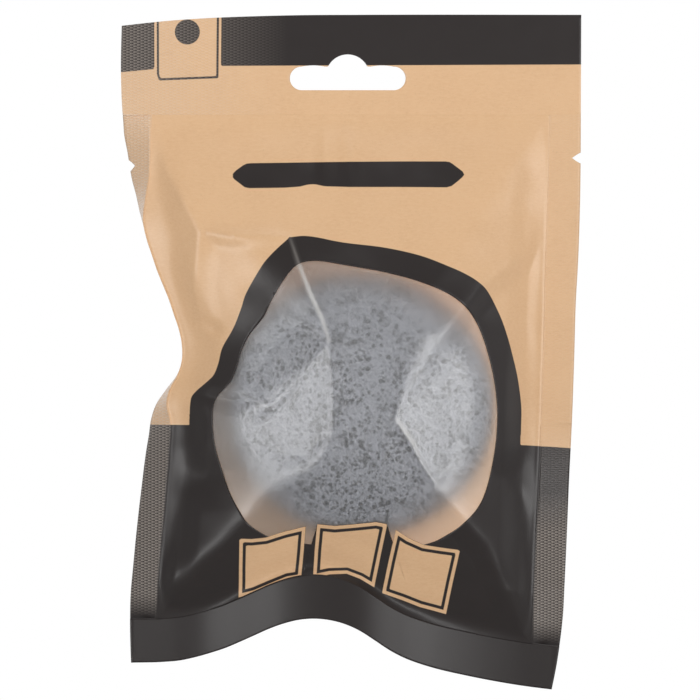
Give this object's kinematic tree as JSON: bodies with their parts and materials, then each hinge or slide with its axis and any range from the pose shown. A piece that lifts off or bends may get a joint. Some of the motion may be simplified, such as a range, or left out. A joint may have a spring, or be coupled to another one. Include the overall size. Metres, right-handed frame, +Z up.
{
  "type": "packed konjac sponge",
  "caption": "Round konjac sponge sealed in a flat hanging sachet with side, top and bottom welds, a frosted window and a hang slot.",
  "frame": {"origin": "centre of the hang slot's straight part, halfway through the welded header", "axes": "+X to the right of someone facing the window, +Z up towards the header, the window looks along -Y"},
  "size_m": [0.1285, 0.039, 0.1886],
  "materials": {
    "printed_film": "satin",
    "black_film": "satin",
    "frosted_film": "matte",
    "konjac_foam": "matte"
  },
  "bodies": {
    "sachet": {"header_seal": "printed_film", "front_panel": "printed_film", "window_film": "frosted_film", "back_panel": "printed_film", "left_side_seal": "printed_film", "right_side_seal": "printed_film", "bottom_seal": "black_film"},
    "sponge": {"konjac_sponge": "konjac_foam"}
  },
  "joints": [
    {"name": "sponge_shift", "type": "slide", "parent": "sachet", "child": "sponge", "axis": [0, 0, 1], "range_m": [0, 0.006]}
  ]
}
